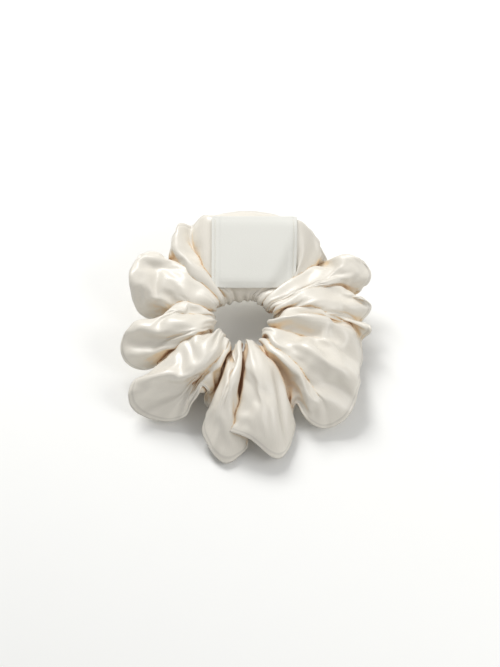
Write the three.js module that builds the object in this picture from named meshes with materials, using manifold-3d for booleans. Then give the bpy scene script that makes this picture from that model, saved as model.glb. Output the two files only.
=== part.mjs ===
// A satin hair scrunchie that lies flat: a gathered sleeve over a loop of elastic, with a matte label panel
// sewn over the joint in the sleeve. Millimetres, +Z up along the ring's axis, the label at the back (+Y).
// The sleeve is one tube of fabric on the bench. It is made here as a back half and a front half, so that
// the ring can be pulled open along Y. The origin is at the bottom centre of the whole scrunchie.
import * as THREE from "three";
import { mergeVertices } from "three/addons/utils/BufferGeometryUtils.js";
import Module from "manifold-3d";

const wasm = await Module();
wasm.setup();

// ---- driving dimensions ----
const HOLE_RADIUS = 13.5; // clear radius through the gathers
const VALLEY_REACH = 51; // radius of the sleeve between two puffs
const VALLEY_INNER_RISE = 1.5; // the hole is wider by this between two puffs
const VALLEY_HEIGHT = 33; // height of the sleeve between two puffs
const PUFF_EXTRA_HEIGHT = 8; // a full puff is taller by this
const SECTION_MID_HEIGHT = 18.8; // height of the middle of the sleeve's section
const SECTION_ROUNDNESS = 2.3; // superellipse exponent of the section
const RING_STEPS = 96; // facets round the ring
const SECTION_STEPS = 18; // facets round the section

// Each puff of gathered fabric: its bearing from +X, its reach from the axis, its half width and its share
// of the full extra height.
const PUFFS = [
  { bearing: 8, reach: 60.5, halfWidth: 12, fullness: 0.8 },
  { bearing: 30, reach: 62.5, halfWidth: 13, fullness: 1.0 },
  { bearing: 58, reach: 57, halfWidth: 14, fullness: 0.7 },
  { bearing: 90, reach: 58, halfWidth: 24, fullness: 0.6 },
  { bearing: 128, reach: 59, halfWidth: 14, fullness: 0.9 },
  { bearing: 155, reach: 62, halfWidth: 18, fullness: 1.0 },
  { bearing: 189, reach: 60.5, halfWidth: 15, fullness: 0.8 },
  { bearing: 221, reach: 62, halfWidth: 16, fullness: 0.9 },
  { bearing: 263, reach: 64, halfWidth: 14, fullness: 0.8 },
  { bearing: 285, reach: 62.5, halfWidth: 13, fullness: 0.9 },
  { bearing: 318, reach: 61, halfWidth: 17, fullness: 1.0 },
  { bearing: 340, reach: 62, halfWidth: 13, fullness: 0.8 },
];

const HALVES_GAP = 0.4; // slit between the two halves of the sleeve
const SURFACE_GAP = 0.2; // space between surfaces that lie on each other

const ELASTIC_RADIUS = 23.5; // middle of the relaxed elastic's thickness
const ELASTIC_WIDTH = 7;
const ELASTIC_THICKNESS = 1.2;
const ELASTIC_MID_HEIGHT = 17.5;
const ELASTIC_OVERLAP = 30; // degrees of the loop where its two ends lie on each other
const ELASTIC_STEP_OUT = 14; // degrees over which the outer end climbs onto the inner one
const ELASTIC_END_BEARING = 75; // bearing of the elastic's inner end
const ZIGZAG_LEGS = 5; // stitches that hold the overlap
const ZIGZAG_END_MARGIN = 5; // degrees of overlap left free at each end of the zigzag
const ZIGZAG_EDGE_MARGIN = 2; // from the elastic's edge to the zigzag's turns
const ZIGZAG_THREAD_RADIUS = 0.2;
const TUNNEL_CLEARANCE = 1.1; // free space round the elastic, in width and in thickness

const LABEL_WIDTH = 40; // along X
const LABEL_LENGTH = 34; // from the hole's side to the outside
const LABEL_THICKNESS = 0.8;
const LABEL_TILT = THREE.MathUtils.degToRad(21); // the panel's outer edge is the higher one
const LABEL_CENTRE = new THREE.Vector3(3, 33.5, 31.2); // middle of the panel's underside
const LABEL_SEAT_MARGIN = 0.8; // flat border of the sleeve round the label
const BACK_TILT_HALF_WIDTH = 40; // degrees either side of the back that lean with the label
const BACK_TILT_FADE = 20; // degrees over which that lean comes in
const LABEL_CORNER = 1.2;
const LABEL_EDGE_TO_STITCH = 1.6;
const LABEL_STITCHES = 14; // in each of the two rows

const THREAD_RADIUS = 0.3;
const THREAD_SIDES = 6;
const STITCH_RISE = 0.25; // how far a stitch stands above its two needle holes
const SEAM_CHANNEL_RADIUS = 0.9;
const SEAM_DEPTH = 0.45; // how far a seam's thread is drawn into the sleeve
const LONG_SEAM_STEPS = 96;
const SEAM_END_ANGLE = 4; // degrees left open at the closing seam, on each side of it
const CLOSING_BEARING = 90; // the sleeve's two ends meet here, under the label
const CLOSING_FIRST_ANGLE = -22; // section angles between which the closing seam is sewn
const CLOSING_LAST_ANGLE = -152;

const IVORY = 0xe6e1d3;
const MATTE_IVORY = 0xe4e2d8;
const THREAD_IVORY = 0xd9cdb2;
const ELASTIC_WHITE = 0xeeeeea;

// ---- materials ----
const satin = new THREE.MeshStandardMaterial({ color: IVORY, roughness: 0.35, metalness: 0 });
const twill = new THREE.MeshStandardMaterial({ color: MATTE_IVORY, roughness: 0.8, metalness: 0 });
const sewingThread = new THREE.MeshStandardMaterial({ color: THREAD_IVORY, roughness: 0.55, metalness: 0 });
const braid = new THREE.MeshStandardMaterial({ color: ELASTIC_WHITE, roughness: 0.7, metalness: 0 });

// ---- solids: geometry in, geometry out ----
function solidFrom(geometry) {
  const bare = geometry.clone();
  bare.deleteAttribute("normal");
  bare.deleteAttribute("uv");
  const merged = mergeVertices(bare, 1e-3);
  return new wasm.Manifold(
    new wasm.Mesh({
      numProp: 3,
      vertProperties: merged.attributes.position.array,
      triVerts: new Uint32Array(merged.index.array),
    }),
  );
}

function geometryFrom(solid) {
  const mesh = solid.getMesh();
  return new THREE.BufferGeometry()
    .setAttribute("position", new THREE.BufferAttribute(mesh.vertProperties, 3))
    .setIndex(new THREE.BufferAttribute(mesh.triVerts, 1));
}

function slab(from, to) {
  const size = new THREE.Vector3().subVectors(to, from);
  const middle = new THREE.Vector3().addVectors(from, to).multiplyScalar(0.5);
  return new THREE.BoxGeometry(size.x, size.y, size.z).translate(middle.x, middle.y, middle.z);
}

// ---- the gathered sleeve's outer shape ----
function turnBetween(a, b) {
  const turn = THREE.MathUtils.euclideanModulo(a - b + 180, 360) - 180;
  return Math.abs(turn);
}

function puffShare(puff, bearing) {
  const away = turnBetween(bearing, puff.bearing) / puff.halfWidth;
  return Math.exp(-away * away);
}

// The sleeve's section at one bearing: where it starts and ends from the axis, and how tall it is.
function sectionAt(bearing) {
  let reach = VALLEY_REACH;
  let fullness = 0;
  for (const puff of PUFFS) {
    const share = puffShare(puff, bearing);
    reach = Math.max(reach, VALLEY_REACH + (puff.reach - VALLEY_REACH) * share);
    fullness = Math.max(fullness, puff.fullness * share);
  }
  const inLean = BACK_TILT_HALF_WIDTH - turnBetween(bearing, CLOSING_BEARING);
  return {
    inner: HOLE_RADIUS + VALLEY_INNER_RISE * (1 - fullness),
    outer: reach,
    height: VALLEY_HEIGHT + PUFF_EXTRA_HEIGHT * fullness,
    lean: Math.tan(LABEL_TILT) * THREE.MathUtils.smoothstep(inLean, 0, BACK_TILT_FADE),
  };
}

function signedPower(value, power) {
  return Math.sign(value) * Math.abs(value) ** power;
}

// A point on the sleeve's skin. The section angle is 0 on the outside and 90 degrees on top.
function skinPoint(bearing, sectionAngle) {
  const section = sectionAt(bearing);
  const power = 2 / SECTION_ROUNDNESS;
  const middle = (section.inner + section.outer) / 2;
  const outwards = (section.outer - middle) * signedPower(Math.cos(sectionAngle), power);
  const upwards = (section.height / 2) * signedPower(Math.sin(sectionAngle), power);
  const fromAxis = middle + outwards;
  const height = SECTION_MID_HEIGHT + upwards + section.lean * outwards;
  const turn = THREE.MathUtils.degToRad(bearing);
  return new THREE.Vector3(fromAxis * Math.cos(turn), fromAxis * Math.sin(turn), Math.max(height, 0));
}

// A ring torus whose vertices are moved out to the skin. What would hang below the table rests on it.
function gatheredRing() {
  const ring = new THREE.TorusGeometry(2, 1, SECTION_STEPS, RING_STEPS);
  const position = ring.attributes.position;
  const place = new THREE.Vector3();
  for (let i = 0; i < position.count; i++) {
    place.fromBufferAttribute(position, i);
    const bearing = THREE.MathUtils.radToDeg(Math.atan2(place.y, place.x));
    const sectionAngle = Math.atan2(place.z, Math.hypot(place.x, place.y) - 2);
    const skin = skinPoint(bearing, sectionAngle);
    position.setXYZ(i, skin.x, skin.y, skin.z);
  }
  return ring;
}

// ---- the label's plane: its normal leans towards the front ----
const labelTurn = new THREE.Euler(LABEL_TILT, 0, 0);

function onLabel(across, along, above) {
  return new THREE.Vector3(across, along, above).applyEuler(labelTurn).add(LABEL_CENTRE);
}

// Everything that would stand above the label's underside.
function labelSeatCut() {
  const halfWidth = LABEL_WIDTH / 2 + LABEL_SEAT_MARGIN;
  const halfLength = LABEL_LENGTH / 2 + LABEL_SEAT_MARGIN;
  const wellAbove = 20;
  const seat = slab(
    new THREE.Vector3(-halfWidth, -halfLength, -SURFACE_GAP),
    new THREE.Vector3(halfWidth, halfLength, wellAbove),
  );
  return seat.applyMatrix4(new THREE.Matrix4().makeRotationFromEuler(labelTurn).setPosition(LABEL_CENTRE));
}

// ---- threads: a round section swept along a curve ----
function roundSection(radius, sides) {
  const outline = [];
  for (let i = 0; i < sides; i++) {
    const angle = (i / sides) * 2 * Math.PI;
    outline.push(new THREE.Vector2(radius * Math.cos(angle), radius * Math.sin(angle)));
  }
  return new THREE.Shape(outline);
}

function sweep(curve, radius, steps) {
  const section = roundSection(radius, THREAD_SIDES);
  return new THREE.ExtrudeGeometry(section, { extrudePath: curve, steps, bevelEnabled: false });
}

// A row of stitches: the thread rises in the middle of each stitch and dips at each needle hole.
function stitchRow(pointAt, stitches) {
  const points = [];
  for (let i = 0; i <= 2 * stitches; i++) {
    points.push(pointAt(i / (2 * stitches), i % 2 ? STITCH_RISE : 0));
  }
  return new THREE.CatmullRomCurve3(points);
}

function labelStitchRow(side) {
  const across = side * (LABEL_WIDTH / 2 - LABEL_EDGE_TO_STITCH);
  const run = LABEL_LENGTH - 2 * LABEL_EDGE_TO_STITCH;
  const above = LABEL_THICKNESS + SURFACE_GAP + THREAD_RADIUS;
  const pointAt = (share, rise) => onLabel(across, (share - 0.5) * run, above + rise);
  return sweep(stitchRow(pointAt, LABEL_STITCHES), THREAD_RADIUS, 4 * LABEL_STITCHES);
}

// The long seam lies in a channel down the sleeve's outermost fold, from one side of the closing seam to
// the other.
function longSeamCurve() {
  const points = [];
  const count = 72;
  for (let i = 0; i <= count; i++) {
    const bearing = CLOSING_BEARING + SEAM_END_ANGLE + (i / count) * (360 - 2 * SEAM_END_ANGLE);
    const skin = skinPoint(bearing, 0);
    const inwards = new THREE.Vector3(-skin.x, -skin.y, 0).setLength(SEAM_DEPTH);
    points.push(skin.add(inwards));
  }
  return new THREE.CatmullRomCurve3(points);
}

// The closing seam runs across the underside of the sleeve, where its two ends are sewn together.
function closingSeamCurve() {
  const points = [];
  const count = 18;
  const first = THREE.MathUtils.degToRad(CLOSING_FIRST_ANGLE);
  const last = THREE.MathUtils.degToRad(CLOSING_LAST_ANGLE);
  for (let i = 0; i <= count; i++) {
    const skin = skinPoint(CLOSING_BEARING, THREE.MathUtils.lerp(first, last, i / count));
    points.push(skin.add(new THREE.Vector3(0, 0, SEAM_DEPTH)));
  }
  return new THREE.CatmullRomCurve3(points);
}

// ---- the elastic: one strip whose outer end lies over its inner end ----
function elasticRadiusAt(turned) {
  const climbStart = 360 - ELASTIC_STEP_OUT;
  const climb = THREE.MathUtils.smoothstep(turned, climbStart, 360);
  return ELASTIC_RADIUS + climb * (ELASTIC_THICKNESS + 2 * SURFACE_GAP);
}

function elasticStrip() {
  const steps = 84;
  const total = 360 + ELASTIC_OVERLAP;
  const side = (offset) =>
    Array.from({ length: steps + 1 }, (_, i) => {
      const turned = (i / steps) * total;
      const bearing = THREE.MathUtils.degToRad(ELASTIC_END_BEARING + turned);
      const fromAxis = elasticRadiusAt(turned) + offset;
      return new THREE.Vector2(fromAxis * Math.cos(bearing), fromAxis * Math.sin(bearing));
    });
  const outline = [...side(ELASTIC_THICKNESS / 2), ...side(-ELASTIC_THICKNESS / 2).reverse()];
  const strip = new THREE.ExtrudeGeometry(new THREE.Shape(outline), {
    depth: ELASTIC_WIDTH,
    bevelEnabled: false,
  });
  return strip.translate(0, 0, ELASTIC_MID_HEIGHT - ELASTIC_WIDTH / 2);
}

// Wavy stitches over the outer end of the elastic.
function elasticZigzag() {
  const points = [];
  const count = 8 * ZIGZAG_LEGS;
  const fromAxis = elasticRadiusAt(360) + ELASTIC_THICKNESS / 2 + SURFACE_GAP + ZIGZAG_THREAD_RADIUS;
  const turned = ELASTIC_OVERLAP - 2 * ZIGZAG_END_MARGIN;
  const reach = ELASTIC_WIDTH / 2 - ZIGZAG_EDGE_MARGIN;
  for (let i = 0; i <= count; i++) {
    const share = i / count;
    const turn = THREE.MathUtils.degToRad(ELASTIC_END_BEARING + ZIGZAG_END_MARGIN + share * turned);
    const height = ELASTIC_MID_HEIGHT - reach * Math.cos(share * ZIGZAG_LEGS * Math.PI);
    points.push(new THREE.Vector3(fromAxis * Math.cos(turn), fromAxis * Math.sin(turn), height));
  }
  return sweep(new THREE.CatmullRomCurve3(points), ZIGZAG_THREAD_RADIUS, count);
}

// The free space that the elastic lies in, with more room outwards for its overlap.
function elasticTunnel() {
  const inner = ELASTIC_RADIUS - ELASTIC_THICKNESS / 2 - TUNNEL_CLEARANCE;
  const outer = elasticRadiusAt(360) + ELASTIC_THICKNESS / 2 + 2 * THREAD_RADIUS + TUNNEL_CLEARANCE;
  const halfHeight = ELASTIC_WIDTH / 2 + TUNNEL_CLEARANCE;
  const corners = [
    new THREE.Vector2(inner, ELASTIC_MID_HEIGHT - halfHeight),
    new THREE.Vector2(outer, ELASTIC_MID_HEIGHT - halfHeight),
    new THREE.Vector2(outer, ELASTIC_MID_HEIGHT + halfHeight),
    new THREE.Vector2(inner, ELASTIC_MID_HEIGHT + halfHeight),
    new THREE.Vector2(inner, ELASTIC_MID_HEIGHT - halfHeight),
  ];
  return new THREE.LatheGeometry(corners, 60).rotateX(Math.PI / 2);
}

// ---- the label: a thin panel with rounded corners ----
function labelPanel() {
  const halfWidth = LABEL_WIDTH / 2;
  const halfLength = LABEL_LENGTH / 2;
  const straight = { x: halfWidth - LABEL_CORNER, y: halfLength - LABEL_CORNER };
  const outline = new THREE.Shape();
  outline.absarc(straight.x, straight.y, LABEL_CORNER, 0, Math.PI / 2);
  outline.absarc(-straight.x, straight.y, LABEL_CORNER, Math.PI / 2, Math.PI);
  outline.absarc(-straight.x, -straight.y, LABEL_CORNER, Math.PI, 1.5 * Math.PI);
  outline.absarc(straight.x, -straight.y, LABEL_CORNER, 1.5 * Math.PI, 2 * Math.PI);
  return new THREE.ExtrudeGeometry(outline, {
    depth: LABEL_THICKNESS,
    bevelEnabled: false,
    curveSegments: 4,
  });
}

// ---- the sleeve's two halves ----
function sleeveHalves() {
  const longSeamChannel = sweep(longSeamCurve(), SEAM_CHANNEL_RADIUS, LONG_SEAM_STEPS);
  const closingChannel = sweep(closingSeamCurve(), SEAM_CHANNEL_RADIUS, 24);
  let sleeve = solidFrom(gatheredRing());
  for (const cut of [elasticTunnel(), labelSeatCut(), longSeamChannel, closingChannel]) {
    sleeve = sleeve.subtract(solidFrom(cut));
  }
  const far = 100;
  const edge = HALVES_GAP / 2;
  const frontSpace = slab(new THREE.Vector3(-far, -far, -far), new THREE.Vector3(far, edge, far));
  const backSpace = slab(new THREE.Vector3(-far, -edge, -far), new THREE.Vector3(far, far, far));
  return {
    back: geometryFrom(sleeve.subtract(solidFrom(frontSpace))),
    front: geometryFrom(sleeve.subtract(solidFrom(backSpace))),
  };
}

function part(name, geometry, material) {
  const mesh = new THREE.Mesh(geometry, material);
  mesh.name = name;
  return mesh;
}

const halves = sleeveHalves();
const ring = new THREE.Group();
ring.add(
  part("sleeve_back_half", halves.back, satin),
  part("sleeve_front_half", halves.front, satin),
  part("elastic_band", elasticStrip(), braid),
  part("elastic_joint_thread", elasticZigzag(), sewingThread),
  part("long_seam_thread", sweep(longSeamCurve(), THREAD_RADIUS, LONG_SEAM_STEPS), sewingThread),
  part("closing_seam_thread", sweep(closingSeamCurve(), THREAD_RADIUS, 24), sewingThread),
  part("label_stitch_left", labelStitchRow(-1), sewingThread),
  part("label_stitch_right", labelStitchRow(1), sewingThread),
);

const label = part("label_panel", labelPanel(), twill);
label.rotation.copy(labelTurn);
label.position.copy(LABEL_CENTRE);
ring.add(label);

// The ring stands with the middle of its own box over the origin.
const box = new THREE.Box3().setFromObject(ring, true);
ring.position.set(-(box.min.x + box.max.x) / 2, -(box.min.y + box.max.y) / 2, -box.min.z);

const scrunchie = new THREE.Group();
scrunchie.add(ring);
export default scrunchie;
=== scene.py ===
import math

import bpy
import numpy as np
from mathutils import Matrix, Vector
from mathutils.bvhtree import BVHTree


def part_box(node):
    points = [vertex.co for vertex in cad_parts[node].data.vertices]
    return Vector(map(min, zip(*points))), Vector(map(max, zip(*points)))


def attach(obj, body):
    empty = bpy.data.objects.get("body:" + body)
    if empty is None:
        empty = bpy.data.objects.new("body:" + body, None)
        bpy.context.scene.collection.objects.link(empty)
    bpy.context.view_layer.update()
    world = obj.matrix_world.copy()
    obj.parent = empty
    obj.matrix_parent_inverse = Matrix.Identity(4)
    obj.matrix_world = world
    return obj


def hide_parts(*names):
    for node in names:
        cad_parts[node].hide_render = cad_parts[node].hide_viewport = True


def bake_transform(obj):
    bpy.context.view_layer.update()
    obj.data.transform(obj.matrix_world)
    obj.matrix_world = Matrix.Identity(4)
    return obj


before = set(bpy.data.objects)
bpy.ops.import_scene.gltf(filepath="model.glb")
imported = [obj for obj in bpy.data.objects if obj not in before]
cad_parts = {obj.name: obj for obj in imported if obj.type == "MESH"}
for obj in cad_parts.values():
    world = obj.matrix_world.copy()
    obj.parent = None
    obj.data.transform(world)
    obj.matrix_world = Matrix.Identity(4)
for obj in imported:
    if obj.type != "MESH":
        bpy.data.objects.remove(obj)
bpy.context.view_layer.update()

MM = 0.001

# ---- places, from the frame, in metres ----
AXIS = Vector((
    (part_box("closing_seam_thread")[0][0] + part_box("closing_seam_thread")[1][0]) / 2,
    (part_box("sleeve_front_half")[1][1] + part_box("sleeve_back_half")[0][1]) / 2,
    0.0,
))
ELASTIC_HEIGHT = (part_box("elastic_band")[0][2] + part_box("elastic_band")[1][2]) / 2 * 1000
LABEL_MIDDLE = (Vector(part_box("label_panel")[0]) + Vector(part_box("label_panel")[1])) / 2
ELASTIC_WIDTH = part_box("elastic_band")[1][2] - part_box("elastic_band")[0][2]

# ---- the sleeve: its cut and the way it lies, in millimetres from the ring's axis ----
FLAT_LENGTH = 640.0  # of the settling cloth along its outer fold, before its waves add to it
FLAT_WIDTH = 50.5  # of the doubled tube
GATHERED_INNER = 450.0  # of the settling cloth along its inner fold
HOLE_CENTRE = (-3.0, 3.5)
HOLE_RADIUS = 12.0
INNER_HEIGHT = 19.0
INNER_HEIGHT_AT_LABEL = 16.0
INNER_WAVE = 1.0  # share of the outer fold's rise and fall that the inner fold has
INNER_BULGE = 3.0  # how far a high fold rolls in over the hole
INNER_HOLD = 0.5  # how firmly the inner fold keeps its place, from 0 to 1
PUFF = 4.0  # thickness of the tube before the cloth settles
SHOULDER = 2.5  # how much thicker it is where it wraps the elastic
SHOULDER_SHARE = 0.5  # and how far out that reaches
CUT_WAVES = 12
CLOTH_THICKNESS = 0.3
GATHERS = 62  # narrow folds that the elastic draws up, round the ring
GATHER_UNDER = 2.4  # their height on the underside
GATHER_TOP = 0.35  # and on top, where the folds have spread
SEAM_FROM_FOLD = 1.8  # the long seam's line lies this far in from the pressed outer fold
SEAM_GROOVE = 0.35
SEAM_PUCKER = 0.12
FOLD_CREASE = 0.6  # how sharp the pressed outer fold is, from 0 to 1
FOLD_RAYS = 20
COLUMNS = 300  # cloth vertices along the seam
HALF_ROWS = 18  # cloth intervals from the inner fold to the outer one, on each layer
ROWS = 2 * HALF_ROWS

# The sleeve's ribs round the ring, from the label past the left and the front. Each runs outwards from the
# hole: x, y and height of its middle, then of its end at the pressed outer fold.
RIBS = [
    ((3, 35, 28), (3, 56, 33)), ((-14, 35, 28), (-16, 54, 33)), ((-20, 33, 29), (-22, 53, 35)),
    ((-24, 31, 22), (-27, 51, 30)), ((-26, 29, 28), (-33, 50, 35)), ((-29, 27, 29), (-38, 43, 33)),
    ((-30, 25, 20), (-37, 37, 20)),
    # the large round puff at the back left
    ((-33, 26, 27), (-44, 40, 27)), ((-38, 25, 29), (-52, 35, 29)), ((-41, 18, 27), (-58, 24, 26)),
    ((-39, 12, 18), (-55, 13, 13)), ((-31, 12, 9), (-45, 10, 5)), ((-28, 7, 24), (-42, 6, 20)),
    ((-33, 2, 23), (-48, 3, 26)),
    # the left puff
    ((-38, -4, 27), (-56, -2, 26)), ((-40, -10, 22), (-61, -11, 16)), ((-36, -14, 18), (-56, -17, 7)),
    ((-31, -15, 9), (-46, -16, 3)), ((-31, -19, 24), (-49, -21, 17)),
    # the long puff at the front left
    ((-32, -24, 28), (-57, -28, 19)), ((-28, -27, 25), (-56, -37, 8)), ((-26, -28, 20), (-43, -42, 4)),
    ((-23, -27, 20), (-29, -42, 8)), ((-18, -25, 23), (-23, -37, 24)), ((-17, -27, 11), (-23, -35, 4)),
    ((-12, -27, 11), (-17, -37, 4)),
    # the two pointed puffs at the front, the right one lying over the left one
    ((-11, -30, 21), (-22, -45, 12)), ((-9, -33, 26), (-21, -52, 7)), ((-7, -34, 27), (-11, -65, 3)),
    ((-4, -34, 20), (-1, -58, 3)), ((-2, -36, 13), (1, -56, 6)), ((0, -34, 13), (-6, -53, 10)),
    ((1, -33, 20), (-12, -54, 15)), ((5, -34, 26), (1, -58, 15)), ((11, -36, 24), (14, -64, 6)),
    ((16, -32, 14), (21, -52, 4)), ((19, -28, 9), (25, -41, 4)),
    # the big puff at the front right
    ((21, -27, 20), (23, -40, 13)), ((25, -27, 23), (28, -46, 9)), ((29, -27, 16), (37, -48, 5)),
    ((31, -24, 22), (47, -44, 8)), ((35, -20, 29), (54, -33, 16)), ((35, -12, 20), (54, -22, 12)),
    ((38, -3, 28), (54, -13, 5)), ((38, 5, 17), (55, -6, 8)),
    # the two small rolls at the right
    ((37, 9, 12), (59, -3, 20)), ((38, 13, 16), (56, 4, 12)), ((40, 17, 21), (60, 9, 22)),
    ((40, 20, 22), (55, 13, 26)), ((40, 22, 20), (47, 17, 10)),
    # the puff at the back right
    ((41, 25, 23), (55, 20, 18)), ((41, 28, 25), (61, 27, 26)), ((38, 31, 26), (56, 35, 30)),
    ((34, 32, 20), (46, 40, 25)), ((30, 30, 12), (39, 43, 14)), ((27, 31, 22), (34, 45, 23)),
    ((22, 34, 27), (27, 50, 31)),
]
MIDDLE_SHARE = 0.45  # how far the ribs' middles are from the inner fold to the outer one

# ---- how the sleeve settles ----
FLOOR_CLEARANCE = 0.5  # the settling cloth stays this far above the table, in millimetres
CLOTH_SCALE = 30.0  # the cloth settles as a model this many times its size in metres
SETTLING_FRAMES = 24
OUTER_HOLD = 0.5  # how firmly the outer fold keeps its place, from 0 to 1
LABEL_HOLD = 0.9
PRESSURE = 0.01
BENDING = 0.08
SHEAR = 20.0

# ---- the label, in millimetres ----
LABEL_WIDTH = 40.0
LABEL_LENGTH = 34.0
LABEL_THICKNESS = 0.7
LABEL_TILT = math.radians(21)
LABEL_BEND_FOOT = 4.3  # where the bend line leaves the label's edge by the hole, from its middle
LABEL_BEND_RADIUS = 8.0
LABEL_BEND = math.radians(26)  # at most, and straight beyond the bend
LABEL_HEM = 3.4
LABEL_EDGE_TO_STITCH = 1.6
LABEL_STITCHES = 21
LABEL_CORNER = 1.0
LABEL_COLUMNS = 100
LABEL_ROWS = 84
LABEL_CLEARANCE = 0.15
LABEL_DROOP = 2.0  # the furthest that it follows the sleeve down
SEAT_DEPTH = 0.4  # the sleeve is laid this far under it
SEAT_PAST_SIDES = 6.0  # and so far past its edges
SEAT_PAST_ENDS = 4.0
SEAT_FADE = 5.0
SEAT_PLACES = 24  # along each side of the grid on which the sleeve under it is felt
SEAT_REACH = 1.5  # how far above the label that starts
LABEL_FOOT_HEIGHT = 24.0  # the sleeve higher than this is left where the label holds it

# ---- threads and elastic, in millimetres ----
THREAD_RADIUS = 0.18
THREAD_PITCH = 1.1  # of its twist
PLY_SHARE = 0.56  # of the thread's radius
ELASTIC_THICKNESS = 1.2
ELASTIC_CORDS = 7  # ribs across it
ELASTIC_RADIUS = 21.5  # of the loop's middle
ELASTIC_ROOM = 2.0  # what the cloth leaves free above the loop's middle and below it
ELASTIC_PLACES = 240  # round the loop
ELASTIC_LAP = 26  # places, each side of which the ends lap

# ---- colours, and threads to the millimetre ----
SATIN_COLOUR = (0.745, 0.705, 0.625)
# Painted shade: the satin turns tan in its folds and brown in its hollows, standing in for the shade and the
# warm light bounced between the folds.
SATIN_FOLD_SHADE_COLOUR = (0.78, 0.63, 0.44)
SATIN_HOLLOW_SHADE_COLOUR = (0.46, 0.26, 0.14)
SATIN_THREADS = 5.0
LABEL_COLOUR = (0.765, 0.76, 0.71)
LABEL_GROUND_COLOUR = (0.68, 0.675, 0.625)
LABEL_THREADS = 2.2
THREAD_COLOUR = (0.78, 0.755, 0.68)
ELASTIC_COLOUR = (0.82, 0.81, 0.78)
ELASTIC_CORE_COLOUR = (0.55, 0.52, 0.46)
ELASTIC_YARNS = 1.1
FLOOR_COLOUR = (0.9, 0.9, 0.88)

# ---- the camera, in metres ----
CAMERA_ELEVATION = math.radians(58)
CAMERA_DISTANCE = 1.2
VIEW_HEIGHT = 0.3139  # what the view takes in from bottom to top, at the ring
AIM_RIGHT = 0.00094
AIM_UP = 0.0068


# ---- helpers ----
def new_piece(name, points, faces, uvs=None, smooth=True):
    """A mesh in metres from points in metres; uvs gives each face its corners' texture places."""
    mesh = bpy.data.meshes.new(name)
    mesh.from_pydata([tuple(point) for point in points], [], faces)
    if uvs is not None:
        layer = mesh.uv_layers.new(name="cloth")
        layer.data.foreach_set("uv", np.asarray(uvs, float).ravel())
    mesh.validate()
    mesh.update()
    if smooth:
        mesh.shade_smooth()
    piece = bpy.data.objects.new(name, mesh)
    bpy.context.scene.collection.objects.link(piece)
    return piece


def only(piece):
    bpy.ops.object.select_all(action="DESELECT")
    piece.select_set(True)
    bpy.context.view_layer.objects.active = piece


def apply_modifiers(piece):
    only(piece)
    for modifier in list(piece.modifiers):
        bpy.ops.object.modifier_apply(modifier=modifier.name)


def unit(vectors):
    return vectors / np.maximum(np.linalg.norm(vectors, axis=-1, keepdims=True), 1e-9)


def smoothstep(value):
    share = np.clip(value, 0.0, 1.0)
    return share * share * (3 - 2 * share)


def round_ring(points, turn):
    """Places on the smooth closed line through the points. turn counts points from the first one."""
    corner = np.array(points, float)
    first = np.floor(turn).astype(int)
    share = (turn - first)[:, None]
    before, here, after, beyond = (corner[(first + step) % len(corner)] for step in (-1, 0, 1, 2))
    return 0.5 * (
        2 * here
        + (after - before) * share
        + (2 * before - 5 * here + 4 * after - beyond) * share ** 2
        + (3 * here - before - 3 * after + beyond) * share ** 3
    )


def even_turns(points, count):
    """The turns at which evenly spaced places lie on that line."""
    fine = np.linspace(0, len(points), 40 * len(points) + 1)
    line = round_ring(points, fine)
    along = np.concatenate([[0], np.cumsum(np.linalg.norm(line[1:] - line[:-1], axis=1))])
    return np.interp(np.linspace(0, along[-1], count, endpoint=False), along, fine)


def smoothed(values, reach, full_turn=0.0):
    """A running average round the ring. full_turn is what the values gain in one turn."""
    count = len(values)
    total = np.zeros(count)
    weights = 0.0
    for step in range(-reach, reach + 1):
        weight = math.exp(-((2 * step / reach) ** 2))
        shifted = np.roll(values, -step)
        if step > 0:
            shifted[count - step:] += full_turn
        if step < 0:
            shifted[:-step] -= full_turn
        total += weight * shifted
        weights += weight
    return total / weights


# ---- the label's surface, which the sleeve under it shares ----
def on_label(across, along, above):
    """A place on the label, in millimetres from the ring's axis.

    The label bends down at the right, along a slanted line.
    """
    foot = np.array([LABEL_BEND_FOOT, -LABEL_LENGTH / 2])
    top = np.array([LABEL_WIDTH / 2, LABEL_LENGTH / 2])
    line = unit(top - foot)
    off_line = np.array([line[1], -line[0]])
    past = (across - foot[0]) * off_line[0] + (along - foot[1]) * off_line[1]
    past = np.maximum(past, 0.0)
    angle = np.minimum(past / LABEL_BEND_RADIUS, LABEL_BEND)
    straight = past - LABEL_BEND_RADIUS * angle
    radius = LABEL_BEND_RADIUS + above
    slid = radius * np.sin(angle) + straight * np.cos(angle) - past
    across = across + off_line[0] * slid
    along = along + off_line[1] * slid
    height = above - radius * (1 - np.cos(angle)) - straight * np.sin(angle)
    middle = (LABEL_MIDDLE - AXIS) / MM
    sine, cosine = math.sin(LABEL_TILT), math.cos(LABEL_TILT)
    return np.stack([
        middle.x + across,
        middle.y + along * cosine - height * sine,
        middle.z + along * sine + height * cosine,
    ], -1)


# ---- the sleeve ----
def row_shares():
    """How far out each row is, from 0 at the inner fold to 1 at the outer one, over the top and back."""
    seam = 1 - SEAM_FROM_FOLD / FLAT_WIDTH
    one_layer = list(np.linspace(0, 2 * seam - 1, HALF_ROWS - 1)) + [seam, 1.0]
    return np.array(one_layer + one_layer[-2:0:-1])


def row_layers():
    """1 on the upper layer, -1 on the lower one, 0 on the folds."""
    upper = [1.0] * (HALF_ROWS - 1)
    lower = [-1.0] * (HALF_ROWS - 1)
    return np.array([0.0] + upper + [0.0] + lower)


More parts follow.
